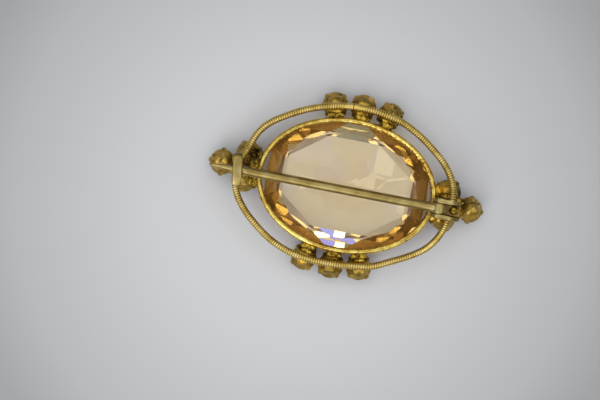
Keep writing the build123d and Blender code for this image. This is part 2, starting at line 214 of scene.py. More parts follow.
def aim_point():
    """The camera's rightward and upward ways over the floor, and the point it looks at."""
    turn = math.radians(LIE_TURN)
    right = Vector((math.cos(turn), math.sin(turn), 0))
    ahead = Vector((-math.sin(turn), math.cos(turn), 0))
    return right, ahead, UP * AIM_HEIGHT - right * AIM_BESIDE - ahead * AIM_BELOW


def lay_floor():
    """The card, laid a hair below the stone's table so that the two flat faces never meet."""
    _, _, aim = aim_point()
    half, gap = 400.0, 0.04
    mesh = bpy.data.meshes.new("floor")
    mesh.from_pydata([(-half * MM, -half * MM, 0), (half * MM, -half * MM, 0), (half * MM, half * MM, 0),
                      (-half * MM, half * MM, 0)], [], [(0, 1, 2, 3)])
    mesh.materials.append(floor_card())
    floor = bpy.data.objects.new("floor", mesh)
    bpy.context.scene.collection.objects.link(floor)
    floor.location = (aim.x * MM, aim.y * MM, -gap * MM)


def set_camera():
    """The camera above the brooch's back, leaning a little, with the brooch turned under it."""
    data = bpy.data.cameras.new("camera")
    data.lens = LENS
    data.sensor_width = SENSOR
    data.clip_start = 0.01
    camera = bpy.data.objects.new("camera", data)
    bpy.context.scene.collection.objects.link(camera)
    right, ahead, aim = aim_point()
    lean = math.radians(CAMERA_LEAN)
    back = UP * math.cos(lean) + ahead * math.sin(lean)
    place = (aim + back * (FIELD_WIDTH * LENS / SENSOR)) * MM
    facing = Matrix((right, back.cross(right), back)).transposed().to_4x4()
    camera.matrix_world = Matrix.Translation(place) @ facing
    bpy.context.scene.camera = camera


def soft_light(name, place, size, power):
    """A square white soft box aimed at the brooch."""
    data = bpy.data.lights.new(name, "AREA")
    data.size = size * MM
    data.energy = power
    light = bpy.data.objects.new(name, data)
    bpy.context.scene.collection.objects.link(light)
    light.location = Vector(place) * MM
    light.rotation_euler = (-Vector(place)).to_track_quat("-Z", "Y").to_euler()


def skylight_panes():
    """Narrow panes high over the brooch, bright cloud with blue sky between, which the stone's steep
    lower facets throw back. Each runs from left to right and has its tint and brightness."""
    height, along, broad = 330, -18.5, 32.0
    cloud, blue = ("#f4f6ff", 4.2), ("#4c5cff", 2.7)
    panes = ((-24.0, -7.3, blue), (-7.3, 0.0, cloud), (8.0, 34.0, blue), (34.0, 50.0, cloud))
    for number, (left, right, (tint, bright)) in enumerate(panes):
        data = bpy.data.lights.new(f"pane_{number}", "AREA")
        data.shape = "RECTANGLE"
        data.size, data.size_y = (right - left) * MM, broad * MM
        data.energy = bright * math.pi * data.size * data.size_y
        data.color = linear(tint)[:3]
        pane = bpy.data.objects.new(f"pane_{number}", data)
        bpy.context.scene.collection.objects.link(pane)
        pane.location = Vector(((left + right) / 2, along, height)) * MM
        pane.visible_glossy = False


def light_room():
    """A pale room by day: a bright ceiling, dim walls, a window low on one side and high panes."""
    world = bpy.data.worlds.new("pale_room")
    bpy.context.scene.world = world
    world.use_nodes = True
    world.node_tree.nodes.clear()
    coord = add(world, "ShaderNodeTexCoord").outputs["Generated"]
    split = add(world, "ShaderNodeSeparateXYZ", inputs={0: coord})
    tone = add(world, "ShaderNodeValToRGB", inputs={"Fac": split.outputs["Z"]}, stops=[
        (0.0, "#4b4b4d"), (0.5, "#868788"), (0.72, "#cacbcc"), (0.86, "#ffffff"), (0.96, "#e6e8eb"),
        (0.985, "#b4b8bd"), (0.993, "#5d6f8e")])
    shade = add(world, "ShaderNodeBackground", inputs={"Color": tone.outputs["Color"], "Strength": 1.62})
    add(world, "ShaderNodeOutputWorld", inputs={"Surface": shade.outputs["Background"]})
    soft_light("window", place=(-120, -330, 280), size=220, power=0.45)
    skylight_panes()


# ---------------------------------------------------------------- cut stones

def around(count, start=0.0):
    """Even turns in radians, from a start given as a share of one step."""
    return [2 * math.pi * (index + start) / count for index in range(count)]


def cut_stone(half_length, half_width, sides, low_z, high_z, tiers):
    """Cut flat facets round an oval blank, a tier at a time.

    A tier is its turns round the stone and two levels, each given as (share of the girdle, z).
    """
    bm = bmesh.new()
    rim = [(half_length * math.cos(turn), half_width * math.sin(turn)) for turn in around(sides)]
    skin(bm, [[Vector((x, y, z)) for x, y in rim] for z in (low_z, high_z)])
    bmesh.ops.recalc_face_normals(bm, faces=bm.faces)
    for turns, (low_share, tier_low), (high_share, tier_high) in tiers:
        for turn in turns:
            outward = math.atan2(half_length * math.sin(turn), half_width * math.cos(turn))
            reach = math.hypot(half_length * math.cos(outward), half_width * math.sin(outward))
            rise = tier_high - tier_low
            facing = Vector((rise * math.cos(outward), rise * math.sin(outward),
                             (low_share - high_share) * reach)).normalized()
            touch = Vector((low_share * reach * math.cos(outward), low_share * reach * math.sin(outward),
                            tier_low))
            bmesh.ops.bisect_plane(bm, geom=bm.verts[:] + bm.edges[:] + bm.faces[:], dist=1e-6,
                                   plane_co=touch, plane_no=facing, clear_outer=True)
            bmesh.ops.edgeloop_fill(bm, edges=[edge for edge in bm.edges if edge.is_boundary])
    return bm


def champagne_glass():
    """Cut champagne glass, polished long ago: clear and pale in the middle, with a faint film of dust over
    its back.
    Its amber rim is painted reflection, standing in for the gilt bezel and dark surroundings seen in it."""
    material = blank("champagne_glass")
    place = add(material, "ShaderNodeTexCoord").outputs["Object"]
    _, high = size_of("main_stone")
    shares = add(material, "ShaderNodeVectorMath", {"operation": "MULTIPLY"}, {
        0: place, 1: (1 / (high.x * MM), 1 / (high.y * MM), 0.0)}).outputs["Vector"]
    reach = add(material, "ShaderNodeVectorMath", {"operation": "LENGTH"}, {0: shares}).outputs["Value"]
    outer = add(material, "ShaderNodeMapRange", inputs={"Value": reach, "From Min": 0.78,
                "From Max": 0.86}).outputs["Result"]
    height = add(material, "ShaderNodeSeparateXYZ", inputs={0: place}).outputs["Z"]
    front = add(material, "ShaderNodeMapRange", inputs={"Value": height, "From Min": 2.9 * MM,
                "From Max": 2.6 * MM}).outputs["Result"]
    crown = add(material, "ShaderNodeMath", {"operation": "MULTIPLY"}, {0: front, 1: outer}).outputs["Value"]
    behind = add(material, "ShaderNodeMath", {"operation": "SUBTRACT"}, {0: outer, 1: crown}).outputs["Value"]
    # painted reflection: the crown's rim is tinted amber, for the gilt bezel seen in it
    painted_rim_amber = add(material, "ShaderNodeMix", {"data_type": "RGBA"}, {
        "Factor": crown, "A": linear("#ffffff"), "B": linear("#d8a060")}).outputs["Result"]
    # painted reflection: the back's rim tints its reflections amber-brown
    painted_rim_reflection = add(material, "ShaderNodeMix", {"data_type": "RGBA"}, {
        "Factor": behind, "A": linear("#ffffff"), "B": linear("#a06428")}).outputs["Result"]
    glass = add(material, "ShaderNodeBsdfPrincipled", inputs={
        "Base Color": painted_rim_amber, "Specular Tint": painted_rim_reflection, "Roughness": 0.0, "IOR": 1.52,
        "Transmission Weight": 1.0})
    passing = add(material, "ShaderNodeBsdfTransparent", inputs={"Color": linear("#fffcf4")})
    shadow = add(material, "ShaderNodeLightPath").outputs["Is Shadow Ray"]
    clear = add(material, "ShaderNodeMixShader", inputs={
        0: shadow, 1: glass.outputs["BSDF"], 2: passing.outputs["BSDF"]})
    cloud = add(material, "ShaderNodeTexNoise", inputs={"Vector": place, "Scale": per(3.0), "Detail": 6.0})
    film = add(material, "ShaderNodeMapRange", inputs={"Value": cloud.outputs["Fac"], "From Min": 0.3,
               "From Max": 0.7, "To Min": 0.02, "To Max": 0.05}).outputs["Result"]
    dust = add(material, "ShaderNodeBsdfDiffuse", inputs={"Color": linear("#f0c070"), "Roughness": 0.5})
    hazy = add(material, "ShaderNodeMixShader", inputs={
        0: film, 1: clear.outputs["Shader"], 2: dust.outputs["BSDF"]})
    depth = add(material, "ShaderNodeVolumeAbsorption", inputs={"Color": linear("#ffe566"),
                "Density": 72.0})
    add(material, "ShaderNodeOutputMaterial", inputs={
        "Surface": hazy.outputs["Shader"], "Volume": depth.outputs["Volume"]})
    return material


def set_main_stone():
    """The oval brilliant, table down, with a broad table and steep crown facets."""
    _, high = size_of("main_stone")
    crown, girdle = 2.6, 2.95
    mains, halves, ends = around(8, 0.5), around(16, 0.5), around(2)
    bm = cut_stone(high.x, high.y, 160, 0.0, high.z, [
        (around(8), (0.7, 0.0), (0.84, 0.45 * crown)),
        (ends, (0.72, 0.0), (0.8, 0.5 * crown)),
        (mains, (0.755, 0.0), (0.955, 0.98 * crown)),
        (halves, (0.93, 0.45 * crown), (1.0, crown)),
        (mains, (0.38, 4.72), (0.0, high.z)),
        (around(8), (0.8, 4.12), (0.38, 4.72)),
        (halves, (1.0, girdle), (0.8, 4.12)),
    ])
    piece("stone", bm, champagne_glass(), ["main_stone"], sharp=1.0)


def rhinestone_glass():
    """Clear lead glass, bright and colourless."""
    material = blank("rhinestone_glass")
    glass = add(material, "ShaderNodeBsdfPrincipled", inputs={
        "Base Color": linear("#ffffff"), "Roughness": 0.0, "IOR": 1.56, "Transmission Weight": 1.0})
    add(material, "ShaderNodeOutputMaterial", inputs={"Surface": glass.outputs["BSDF"]})
    return material


def mirror_foil():
    """Silvered foil under gold lacquer on a rhinestone's back, crazed and dulled by age."""
    material = blank("mirror_foil")
    place = add(material, "ShaderNodeTexCoord").outputs["Object"]
    craze = add(material, "ShaderNodeTexNoise", inputs={"Vector": place, "Scale": per(0.5), "Detail": 5.0})
    tone = add(material, "ShaderNodeValToRGB", inputs={"Fac": craze.outputs["Fac"]}, stops=[
        (0.3, "#b9b3a2"), (0.5, "#e6e2d6"), (0.7, "#f4f1ea")])
    surface = add(material, "ShaderNodeBsdfPrincipled", inputs={
        "Base Color": tone.outputs["Color"], "Metallic": 1.0, "Roughness": 0.12})
    add(material, "ShaderNodeOutputMaterial", inputs={"Surface": surface.outputs["BSDF"]})
    return material


def cup_names():
    """The cups' names without cup_, in the frame's order."""
    return [node[len("cup_"):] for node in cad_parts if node.startswith("cup_")]


def cup_place(name):
    """A cup's centre and its outward turn in radians."""
    low, high = size_of(f"cup_{name}")
    centre = (low + high) / 2
    if name.endswith("_tip"):
        return Vector((centre.x, centre.y, 0)), math.atan2(0.0, centre.x)
    _, bezel = size_of("bezel_ring")
    reach = 1.85
    outward = math.atan2(centre.y / (bezel.y + reach) ** 2, centre.x / (bezel.x + reach) ** 2)
    return Vector((centre.x, centre.y, 0)), outward


def set_chatons():
    """The small round stones, table down, foiled behind."""
    glass, foil = rhinestone_glass(), mirror_foil()
    crown_height, girdle_height = 0.7, 0.12
    for name in cup_names():
        low, high = size_of(f"chaton_{name}")
        centre = (low + high) / 2
        radius = (high.x - low.x) / 2
        girdle = low.z + crown_height
        back = girdle + girdle_height
        bm = cut_stone(radius, radius, 48, low.z, high.z, [
            (around(8), (0.56, low.z), (1.0, girdle)),
            (around(8, 0.5), (0.55, low.z), (0.86, low.z + 0.42)),
            (around(16, 0.5), (0.93, low.z + 0.5), (1.0, girdle)),
            (around(8), (1.0, back), (0.05, high.z)),
        ])
        bmesh.ops.translate(bm, vec=(centre.x, centre.y, 0), verts=bm.verts)
        made = piece(f"rhinestone_{name}", bm, glass, [f"chaton_{name}"], sharp=1.0)
        made.data.materials.append(foil)
        for face in made.data.polygons:
            face.material_index = 1 if face.center.z > back * MM and face.normal.z > 0.1 else 0


# ---------------------------------------------------------------- metals

def gilding():
    """Thick bright gilding on the bezel: clear yellow, polished on the high spots, browned in pits, and
    darker towards the bottom of the ring, below its bead: painted shade on its walls and lip."""
    material = blank("bright_gilding")
    place = add(material, "ShaderNodeTexCoord").outputs["Object"]
    cloud = add(material, "ShaderNodeTexNoise", inputs={"Vector": place, "Scale": per(1.6), "Detail": 8.0,
                "Roughness": 0.65})
    tone = add(material, "ShaderNodeValToRGB", inputs={"Fac": cloud.outputs["Fac"]}, stops=[
        (0.3, "#8a6a26"), (0.42, "#bf9c44"), (0.56, "#e2ca6a"), (0.76, "#f6e89e")])
    fleck = add(material, "ShaderNodeTexNoise", inputs={"Vector": place, "Scale": per(0.28), "Detail": 3.0})
    pits = add(material, "ShaderNodeMapRange", inputs={"Value": fleck.outputs["Fac"], "From Min": 0.6,
               "From Max": 0.68}).outputs["Result"]
    pitted = add(material, "ShaderNodeMix", {"data_type": "RGBA"}, {
        "Factor": pits, "A": tone.outputs["Color"], "B": linear("#7a5316")}).outputs["Result"]
    height = add(material, "ShaderNodeSeparateXYZ", inputs={0: place}).outputs["Z"]
    # painted shade: the ring darkens below its bead, on its walls and lip
    seam = add(material, "ShaderNodeMapRange", inputs={"Value": height, "From Min": 3.62 * MM,
               "From Max": 3.36 * MM}).outputs["Result"]
    colour = add(material, "ShaderNodeMix", {"data_type": "RGBA"}, {
        "Factor": seam, "A": pitted, "B": linear("#6e4a12")}).outputs["Result"]
    return metal(material, place, colour, smooth=0.16, dull=0.34, grain=0.3, depth=0.016)


# Patches on the metals: dark flux by the catch, a dark grey patch outside the cup beyond the hinge, and
# beside it a bright orange-gold painted reflection of the bezel on the cup's inner side, as a middle, a reach
# and a colour
PATCHES_AND_PAINTED_REFLECTION = (((-13.9, 1.9, 3.5), 2.1, "#382a12"), ((16.5, 2.7, 2.4), 2.1, "#37331f"),
               # the last patch is a painted reflection of the bezel
               ((13.3, 2.4, 3.4), 1.3, "#dcae3e"))


def patches_and_painted_reflection(material, place, colour):
    """Mark a metal's colour, patchily, with the listed patches: flux, a dark grey patch and a painted
    reflection.
    """
    for middle, wide, mark_colour in PATCHES_AND_PAINTED_REFLECTION:
        away = add(material, "ShaderNodeVectorMath", {"operation": "DISTANCE"}, {
            0: place, 1: Vector(middle) * MM}).outputs["Value"]
        near = add(material, "ShaderNodeMapRange", inputs={"Value": away, "From Min": wide * MM,
                   "From Max": 0.4 * wide * MM}).outputs["Result"]
        patchy = add(material, "ShaderNodeTexNoise", inputs={
            "Vector": place, "Scale": per(0.8), "Detail": 5.0})
        cover = add(material, "ShaderNodeMapRange", inputs={"Value": patchy.outputs["Fac"], "From Min": 0.38,
                    "From Max": 0.5, "To Min": 0.3, "To Max": 1.0}).outputs["Result"]
        mask = add(material, "ShaderNodeMath", {"operation": "MULTIPLY"}, {0: near, 1: cover})
        colour = add(material, "ShaderNodeMix", {"data_type": "RGBA"}, {
            "Factor": mask.outputs["Value"], "A": colour, "B": linear(mark_colour)}).outputs["Result"]
    return colour


def metal(material, place, colour, smooth, dull, grain, depth):
    """Join a metal's colour to a finish that wanders between two roughnesses, smooth and dull, with
    fine dents of this grain and depth in millimetres."""
    wander = add(material, "ShaderNodeTexNoise", inputs={"Vector": place, "Scale": per(0.9), "Detail": 4.0})
    rough = add(material, "ShaderNodeMapRange", inputs={"Value": wander.outputs["Fac"], "From Min": 0.35,
                "From Max": 0.65, "To Min": smooth, "To Max": dull}).outputs["Result"]
    dents = add(material, "ShaderNodeTexNoise", inputs={"Vector": place, "Scale": per(grain), "Detail": 3.0})
    bump = add(material, "ShaderNodeBump", inputs={"Height": dents.outputs["Fac"], "Strength": 1.0,
               "Distance": depth * MM})
    surface = add(material, "ShaderNodeBsdfPrincipled", inputs={
        "Base Color": colour, "Metallic": 1.0, "Roughness": rough, "Normal": bump.outputs["Normal"]})
    add(material, "ShaderNodeOutputMaterial", inputs={"Surface": surface.outputs["BSDF"]})
    return material


def stamped_brass():
    """Stamped brass cups under worn lacquer: dull olive gold, mottled yellow, orange and brown, dark in spots
    of tarnish, rubbed bright on the edges, with painted shade darkening the creases."""
    material = blank("stamped_brass")
    place = add(material, "ShaderNodeTexCoord").outputs["Object"]
    cloud = add(material, "ShaderNodeTexNoise", inputs={"Vector": place, "Scale": per(1.5), "Detail": 8.0,
                "Roughness": 0.68})
    tone = add(material, "ShaderNodeValToRGB", inputs={"Fac": cloud.outputs["Fac"]}, stops=[
        (0.3, "#644d1c"), (0.42, "#9b8036"), (0.53, "#bd9c4a"), (0.6, "#d2a03c"), (0.7, "#edbf46"),
        (0.8, "#d39040")])
    bend = add(material, "ShaderNodeNewGeometry").outputs["Pointiness"]
    edge = add(material, "ShaderNodeMapRange", inputs={"Value": bend, "From Min": 0.53, "From Max": 0.62,
               "To Max": 0.7})
    worn = add(material, "ShaderNodeMix", {"data_type": "RGBA"}, {
        "Factor": edge.outputs["Result"], "A": tone.outputs["Color"], "B": linear("#e4c880")})
    # painted shade: the creases, where the mesh bends inward, are darkened
    painted_crease_shade = add(material, "ShaderNodeMapRange", inputs={"Value": bend, "From Min": 0.49,
                 "From Max": 0.42}).outputs["Result"]
    crease_shaded = add(material, "ShaderNodeMix", {"data_type": "RGBA"}, {
        "Factor": painted_crease_shade, "A": worn.outputs["Result"], "B": linear("#33240d")}).outputs["Result"]
    spot = add(material, "ShaderNodeTexNoise", inputs={"Vector": place, "Scale": per(0.9), "Detail": 5.0})
    tarnish = add(material, "ShaderNodeMapRange", inputs={"Value": spot.outputs["Fac"], "From Min": 0.58,
                  "From Max": 0.7, "To Max": 0.85}).outputs["Result"]
    colour = add(material, "ShaderNodeMix", {"data_type": "RGBA"}, {
        "Factor": tarnish, "A": crease_shaded, "B": linear("#3d3620")}).outputs["Result"]
    colour = patches_and_painted_reflection(material, place, colour)
    return metal(material, place, colour, smooth=0.36, dull=0.55, grain=0.4, depth=0.035)


def milled_wire():
    """Milled brass wire: mottled pale brass, with painted shade darkening the cuts between its ribs."""
    material = blank("milled_brass_wire")
    place = add(material, "ShaderNodeTexCoord").outputs["Object"]
    cloud = add(material, "ShaderNodeTexNoise", inputs={"Vector": place, "Scale": per(1.3), "Detail": 6.0})
    tone = add(material, "ShaderNodeValToRGB", inputs={"Fac": cloud.outputs["Fac"]}, stops=[
        (0.3, "#b79a4c"), (0.5, "#d6bb68"), (0.7, "#e6cf8a")])
    cut = add(material, "ShaderNodeAttribute", {"attribute_name": "cut"}).outputs["Fac"]
    # painted shade: darker down in the cuts between the ribs
    painted_cut_shade = add(material, "ShaderNodeMapRange", inputs={"Value": cut, "From Min": 0.25, "From Max": 0.9,
               "To Max": 0.55})
    colour = add(material, "ShaderNodeMix", {"data_type": "RGBA"}, {
        "Factor": painted_cut_shade.outputs["Result"], "A": tone.outputs["Color"], "B": linear("#7d5a20")})
    colour = colour.outputs["Result"]
    return metal(material, place, colour, smooth=0.28, dull=0.42, grain=0.25, depth=0.01)


def pale_brass():
    """Pale drawn brass of the pin fitting: greenish, satin, clouded with brown, and darker towards the
    bottom:
    painted shade in the hinge's tray between its ears and on the low parts of the fittings."""
    material = blank("pale_brass")
    place = add(material, "ShaderNodeTexCoord").outputs["Object"]
    cloud = add(material, "ShaderNodeTexNoise", inputs={"Vector": place, "Scale": per(2.2), "Detail": 7.0})
    tone = add(material, "ShaderNodeValToRGB", inputs={"Fac": cloud.outputs["Fac"]}, stops=[
        (0.3, "#7a6430"), (0.46, "#95804a"), (0.6, "#a8945c"), (0.72, "#b0a26e"), (0.8, "#9c7c40")])
    height = add(material, "ShaderNodeSeparateXYZ", inputs={0: place}).outputs["Z"]
    # painted shade: darker low down, in the hinge's tray and at the catch's foot
    low = add(material, "ShaderNodeMapRange", inputs={"Value": height, "From Min": 6.3 * MM,
              "From Max": 5.2 * MM, "To Max": 0.6}).outputs["Result"]
    colour = add(material, "ShaderNodeMix", {"data_type": "RGBA"}, {
        "Factor": low, "A": tone.outputs["Color"], "B": linear("#6b5022")}).outputs["Result"]
    return metal(material, place, colour, smooth=0.3, dull=0.46, grain=0.25, depth=0.01)


def gilt_solder():
    """Soft solder gilded with the rest: crumpled and bright on its skin, with dark flux in its pits."""
    material = blank("gilt_solder")
    place = add(material, "ShaderNodeTexCoord").outputs["Object"]
    cloud = add(material, "ShaderNodeTexNoise", inputs={"Vector": place, "Scale": per(0.7), "Detail": 7.0,
                "Roughness": 0.75})
    tone = add(material, "ShaderNodeValToRGB", inputs={"Fac": cloud.outputs["Fac"]}, stops=[
        (0.36, "#1d1508"), (0.45, "#6e5518"), (0.54, "#b8963a"), (0.66, "#d9c04e"), (0.8, "#efe38c")])
    colour = patches_and_painted_reflection(material, place, tone.outputs["Color"])
    return metal(material, place, colour, smooth=0.24, dull=0.42, grain=0.25, depth=0.05)


# ---------------------------------------------------------------- bezel

def bezel_profile(groove, low, high):
    """The ring's section as (how far in from the outer wall, z): wall, rounded bead, lip and groove."""
    bead, bead_half, bead_rise, groove_width = [], 0.41, 0.46, 0.3
    for index in range(17):
        turn = math.pi * (1 - index / 16)
        sunk = groove * math.exp(-(math.cos(turn) / groove_width) ** 2)
        bead.append((bead_half * (1 + math.cos(turn)),
                     high - bead_rise + bead_rise * math.sin(turn) * (1 - sunk)))
    return [(0.0, low + 0.15), (0.02, low + 0.6), (0.0, low + 1.1), (0.0, low + 1.6), *bead,
            (0.8, high - 0.7), (0.74, high - 0.86), (0.45, high - 0.9), (0.45, low + 0.3),
            (0.7, low + 0.24), (0.72, low + 0.06), (0.6, low), (0.12, low), (0.03, low + 0.04)]


def set_bezel():
    """The bezel: a rounded ring, smooth on one side and beaten into bright flecks on the other."""
    low, high = size_of("bezel_ring")
    steps, bead_top, beaten_depth = 900, 0.06, 0.8
    rows = []
    for index in range(steps):
        turn = 2 * math.pi * index / steps
        degrees = math.degrees(turn)
        wall = Vector((high.x * math.cos(turn), high.y * math.sin(turn), 0))
        outward = Vector((high.y * math.cos(turn), high.x * math.sin(turn), 0)).normalized()
        beaten = 0.1 * near_turn(degrees, 42, 38) + 0.012
        groove = 0.35 * near_turn(degrees, 325, 22)
        row = []
        for inset, z in bezel_profile(groove, low.z, high.z - bead_top):
            point = wall - outward * inset + UP * z
            if z > high.z - beaten_depth:
                dent = noise.noise(point / 0.42) * beaten + noise.noise(point / 0.17) * beaten * 0.4
                point = point + UP * min(dent, 0.05) - outward * dent * 0.4
            row.append(point)
        rows.append(row)
    bm = bmesh.new()
    skin(bm, rows, loop=True)
    piece("bezel", bm, gilding(), ["bezel_ring"], sharp=50.0)


# ---------------------------------------------------------------- outer wire

# Where the wire was bent by hand away from a true oval: the turn and how far it spreads, in degrees,
# and how far out
BENDS = ((230, 30, 0.68), (189, 15, 0.62), (170, 7, -0.3), (152, 9, 0.12), (88, 28, 0.12), (60, 10, 0.12),
         (30, 12, -0.2), (358, 8, -0.22), (333, 14, 0.28), (298, 10, 0.25))
# Where its ribs are worn down, as the turn, the spread and how much
WORN = ((95, 6, 1.0), (338, 8, 0.6), (180, 5, 0.5))


def bent_out(degrees):
    """How far the wire stands out from its oval at a turn."""
    return sum(out * near_turn(degrees, turn, spread) for turn, spread, out in BENDS)


def oval_reach(half_length, half_breadth, turn):
    """How far a four-arc oval reaches from its middle at a turn in radians."""
    end_radius = 0.8 * half_breadth
    end_x = half_length - end_radius
    side_radius = (end_x ** 2 + half_breadth ** 2 - end_radius ** 2) / (2 * (half_breadth - end_radius))
    side_y = side_radius - half_breadth
    across, upward = abs(math.cos(turn)), abs(math.sin(turn))
    reach = end_x * across + math.sqrt((end_x * across) ** 2 - end_x ** 2 + end_radius ** 2)
    if reach * upward * end_x <= side_y * (reach * across - end_x):
        return reach
    return math.sqrt((side_y * upward) ** 2 - side_y ** 2 + side_radius ** 2) - side_y * upward


def set_outer_wire():
    """The milled wire, bent round by hand and butted on its top side, where its ribs are worn flat."""
    low, high = size_of("outer_wire")
    radius = (high.z - low.z) / 2
    half_length, half_breadth = high.x - radius, high.y - radius
    seam, rib_pitch, rib_depth, steps_per_rib = 96.0, 0.34, 0.075, 8
    crest, flattened, spare = 1.15, 0.05, 1
    bends = []
    for index in range(1440):
        degrees = (seam + index * 0.25) % 360
        turn = math.radians(degrees)
        reach = oval_reach(half_length, half_breadth, turn) + bent_out(degrees)
        bends.append((reach * math.cos(turn), reach * math.sin(turn), low.z + radius))
    round_trip = evenly(bends, 720, closed=True)[2]
    ribs = round(round_trip / rib_pitch)
    places, ways, _ = evenly(bends, ribs * steps_per_rib, closed=True)
    outline = section(20, 1.0, 1.0)
    rows, cuts = [], []
    for index, (place, ahead) in enumerate(zip(places, ways)):
        degrees = math.degrees(math.atan2(place.y, place.x)) % 360
        worn = max(much * near_turn(degrees, turn, spread) for turn, spread, much in WORN)
        row = []
        for number, point in enumerate(crossing(place, ahead, UP, outline)):
            slant = 0.5 * math.sin(2 * math.pi * number / len(outline))
            cut = (0.5 + 0.5 * math.cos(2 * math.pi * index / steps_per_rib + slant)) ** 2 * (1 - worn)
            swell = noise.noise(place / 0.9) * 0.015
            reach = radius * (crest - rib_depth * cut / radius - flattened * worn + swell)
            row.append(place + (point - place) * reach)
            cuts.append(cut)
        rows.append(row)
    bm = bmesh.new()
    skin(bm, rows[spare:-spare])
    made = piece("outer_wire_milled", bm, milled_wire(), ["outer_wire"], sharp=75.0)
    mark(made, "cut", cuts[spare * len(outline):-spare * len(outline)])


# ---------------------------------------------------------------- cups

def cup_shell(bm, turn, seed):
    """A stamped cup, open to the front: a square-sided back that runs out to a round, scooped rim."""
    # radius, z and squareness, from the back's middle down the outside and up the inside
    outside = [(0.1, 3.7, 2.0), (0.45, 3.69, 2.3), (0.75, 3.65, 2.8), (0.98, 3.56, 3.4), (1.15, 3.42, 4.0),
               (1.32, 3.2, 4.4), (1.48, 2.94, 4.4), (1.62, 2.7, 3.8), (1.73, 2.5, 3.0), (1.8, 2.36, 2.5),
               (1.83, 2.24, 2.2), (1.83, 2.0, 2.0), (1.82, 1.72, 2.0)]
    inside = [(1.76, 1.68, 2.0), (1.67, 1.72, 2.0), (1.65, 2.0, 2.0), (1.5, 2.5, 2.0), (1.1, 3.0, 2.0),
              (0.6, 3.3, 2.0), (0.1, 3.4, 2.0)]
    rim_z, back_z, scoop_depth, dent_depth = 1.8, 2.4, 0.34, 0.05
    rows = []
    for radius, z, power in outside + inside:
        row = []
        for spin in around(96):
            across, upward = abs(math.cos(spin)), abs(math.sin(spin))
            squared = (across ** power + upward ** power) ** (-1 / power) / 2 ** (0.5 - 1 / power)
            scoop = scoop_depth * math.cos(2 * spin) ** 2 if z < rim_z else 0.0
            reach = radius * squared
            point = Vector((reach * math.cos(spin + turn), reach * math.sin(spin + turn), z + scoop))
            dent = noise.noise(point / 0.8 + Vector((seed * 7.3, 0, 0))) * dent_depth if z > back_z else 0
            row.append(point * (1 + dent / max(radius, 0.5)))
        rows.append(row)
    skin(bm, rows)


def cup_prong(bm, turn, seed):
    """A prong: a crowned strip that leaves the cup's corner, passes the rim and folds over the stone."""
    path = [(1.2, 3.22), (1.45, 2.92), (1.7, 2.64), (1.87, 2.4), (1.93, 2.1), (1.95, 1.8), (1.93, 1.58),
            (1.84, 1.42), (1.68, 1.34), (1.5, 1.34), (1.4, 1.38)]
    places, ways, _ = evenly([(radius, 0, z) for radius, z in path], 26)
    lean = noise.noise(Vector((seed * 3.1, turn, 0.5))) * 0.12
    spin = Matrix.Rotation(turn + lean, 3, "Z")
    rows = []
    for index, (place, ahead) in enumerate(zip(places, ways)):
        share = index / (len(places) - 1)
        wide = 0.3 * min(1.0, 0.55 + 2.2 * share) * min(1.0, (1.08 - share) * 5) ** 0.5
        over = Vector((0, 1, 0)).cross(ahead)
        row = crossing(place, ahead, over, section(12, wide, 0.11, 2.8))
        rows.append([spin @ point for point in row])
    skin(bm, rows)


def set_cups():
    """The twelve four-prong cups, each a little different, as stamped and bent by hand."""
    material = stamped_brass()
    middle, most_skew, most_lean, slipped = UP * 2.5, 0.14, 0.12, Vector((0, -0.15, 0))
    for number, name in enumerate(cup_names()):
        centre, outward = cup_place(name)
        corner = math.pi / 4 if name.endswith("_tip") else 0.0
        skew = noise.noise(Vector((number * 5.7, 1.5, 0))) * most_skew
        turn = outward + corner + skew
        bm = bmesh.new()
        cup_shell(bm, turn, number)
        for prong_turn in around(4, 0.5):
            cup_prong(bm, turn + prong_turn, number)
        lean = Vector((noise.noise(Vector((number * 2.3, 0, 4))),
                       noise.noise(Vector((0, number * 2.9, 8))), 0))
        tilt = Matrix.Rotation(most_lean * lean.length, 3, lean.normalized())
        slip = slipped if name.startswith("bottom") else Vector()
        for vert in bm.verts:
            vert.co = tilt @ (vert.co - middle) + middle + centre + slip
        piece(f"stamped_cup_{name}", bm, material, [f"cup_{name}"], sharp=60.0)


# ---------------------------------------------------------------- solder

def lump(bm, centre, turn, half, seed, crumple=0.3):
    """A run of solder: a flattened drop, drawn out along the joint and crumpled as it set."""
    start = len(bm.verts)
    bmesh.ops.create_icosphere(bm, subdivisions=5, radius=1.0)
    bm.verts.ensure_lookup_table()
    spin = Matrix.Rotation(turn, 3, "Z")
    shift = Vector((seed * 4.7, seed * 2.1, 0))
    for vert in list(bm.verts)[start:]:
        way = vert.co.copy()
        place = spin @ Vector((way.x * half[0], way.y * half[1], way.z * half[2])) + centre
        broad, fine = abs(noise.noise(place / 0.75 + shift)), abs(noise.noise(place / 0.3 + shift))
        folds = 0.9 - 2.2 * broad - 0.9 * fine
        side = 1 + 0.2 * noise.noise(place / 0.6 - shift)
        swell = 1 + crumple * folds
        vert.co = spin @ Vector((way.x * half[0] * side, way.y * half[1] * side, way.z * half[2] * swell))
        vert.co += centre


